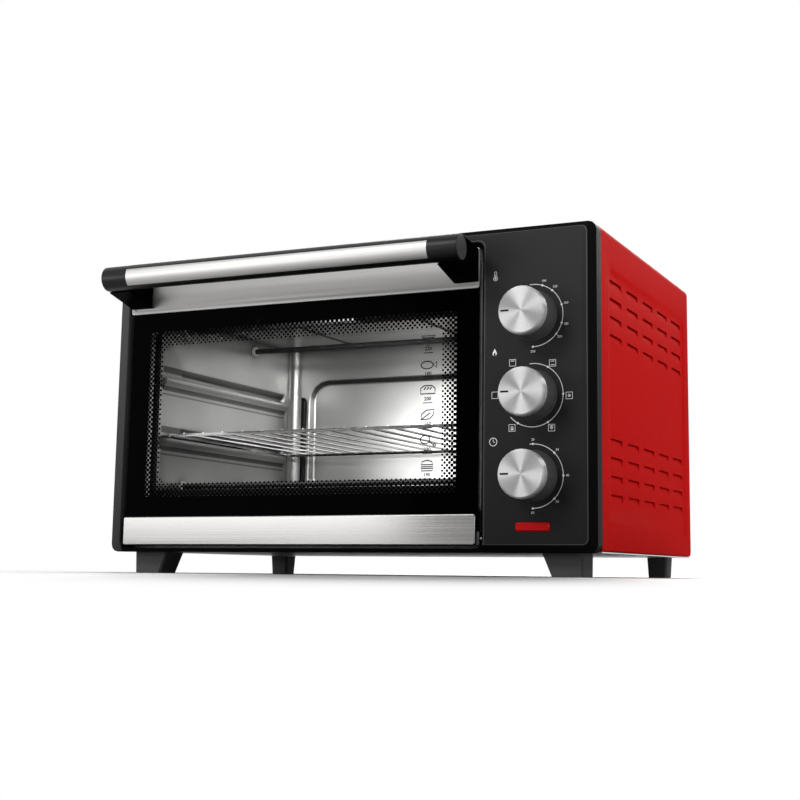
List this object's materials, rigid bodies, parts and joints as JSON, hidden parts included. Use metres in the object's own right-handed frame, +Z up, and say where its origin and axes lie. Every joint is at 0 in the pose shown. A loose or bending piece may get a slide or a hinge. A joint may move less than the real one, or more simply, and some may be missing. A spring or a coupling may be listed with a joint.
{
  "type": "electric worktop oven",
  "caption": "Free-standing electric worktop oven with a drop-down glass door, bar handle, rotary knobs, wire rack, crumb tray, heating rods and a hot-air fan in a louvred case.",
  "frame": {"origin": "middle of the bounding box in plan, at the level of the feet's undersides", "axes": "+X to the right seen from the front, +Y to the back, +Z up; the door and the knobs face -Y"},
  "size_m": [0.535, 0.4038, 0.3294],
  "materials": {
    "red_paint": "semi-gloss enamel on folded sheet steel",
    "black_plastic": "fine satin moulding",
    "black_steel": "dark coated steel",
    "brushed_steel": "brushed along X",
    "aluminised_steel": "dull aluminised sheet",
    "spun_aluminium": "spun face with fine rings",
    "chrome_wire": "bright plated wire",
    "element_steel": "heat-darkened sheath",
    "ceramic": "unglazed ceramic",
    "red_lens": "clear red moulding",
    "lamp_glass": "small glass lamp",
    "bakelite": "thermoset moulding",
    "door_glass": "clear tempered glass with a dark tint"
  },
  "bodies": {
    "case": {"front_bezel": "black_plastic", "indicator_lens": "red_lens", "indicator_lamp": "lamp_glass", "outer_cover": "red_paint", "foot_front_left": "black_plastic", "foot_front_right": "black_plastic", "foot_rear_left": "black_plastic", "foot_rear_right": "black_plastic", "base_plate": "aluminised_steel", "rear_panel": "aluminised_steel", "cord_gland": "black_plastic", "cavity_left_wall": "aluminised_steel", "cavity_right_wall": "aluminised_steel", "cavity_back_wall": "aluminised_steel", "cavity_roof": "aluminised_steel", "cavity_floor": "aluminised_steel", "element_upper_front": "element_steel", "element_upper_rear": "element_steel", "element_lower_front": "element_steel", "element_lower_rear": "element_steel", "insulator_upper_front_left": "ceramic", "insulator_upper_front_right": "ceramic", "insulator_upper_rear_left": "ceramic", "insulator_upper_rear_right": "ceramic", "insulator_lower_front_left": "ceramic", "insulator_lower_front_right": "ceramic", "insulator_lower_rear_left": "ceramic", "insulator_lower_rear_right": "ceramic", "fan_guard": "brushed_steel", "fan_motor": "black_steel", "thermostat_body": "aluminised_steel", "function_switch_body": "bakelite", "timer_body": "aluminised_steel", "timer_bell": "spun_aluminium"},
    "door": {"door_glass": "door_glass", "door_inner_frame": "aluminised_steel", "door_top_trim": "brushed_steel", "door_bottom_trim": "brushed_steel", "hinge_pin_left": "brushed_steel", "hinge_pin_right": "brushed_steel", "handle_bar": "black_plastic", "handle_inlay": "brushed_steel", "handle_bracket_left": "black_plastic", "handle_bracket_right": "black_plastic"},
    "temperature_knob": {"temperature_knob_skirt": "black_plastic", "temperature_knob_cap": "spun_aluminium", "temperature_knob_shaft": "brushed_steel"},
    "function_knob": {"function_knob_skirt": "black_plastic", "function_knob_cap": "spun_aluminium", "function_knob_shaft": "brushed_steel"},
    "minute_knob": {"minute_knob_skirt": "black_plastic", "minute_knob_cap": "spun_aluminium", "minute_knob_shaft": "brushed_steel"},
    "fan": {"fan_impeller": "aluminised_steel"},
    "rack": {"wire_rack": "chrome_wire"},
    "tray": {"crumb_tray": "black_steel"}
  },
  "joints": [
    {"name": "door_hinge", "type": "hinge", "parent": "case", "child": "door", "pos_m": [-0.0503, -0.1398, 0.0348], "axis": [1, 0, 0], "range_deg": [0, 82]},
    {"name": "temperature_knob_turn", "type": "hinge", "parent": "case", "child": "temperature_knob", "pos_m": [0.2059, -0.1462, 0.2424], "axis": [0, 1, 0], "range_deg": [0, 270]},
    {"name": "function_knob_turn", "type": "hinge", "parent": "case", "child": "function_knob", "pos_m": [0.2059, -0.1462, 0.1672], "axis": [0, 1, 0], "range_deg": [0, 300]},
    {"name": "minute_knob_turn", "type": "hinge", "parent": "case", "child": "minute_knob", "pos_m": [0.2059, -0.1462, 0.092], "axis": [0, 1, 0], "range_deg": [0, 270]},
    {"name": "fan_spin", "type": "hinge", "parent": "case", "child": "fan", "pos_m": [0.1237, 0.009, 0.178], "axis": [1, 0, 0], "continuous": true},
    {"name": "rack_slide", "type": "slide", "parent": "case", "child": "rack", "axis": [0, -1, 0], "range_m": [-0.0045, 0.0045]},
    {"name": "crumb_tray_slide", "type": "slide", "parent": "case", "child": "tray", "axis": [0, -1, 0], "range_m": [-0.0045, 0.0045]}
  ]
}
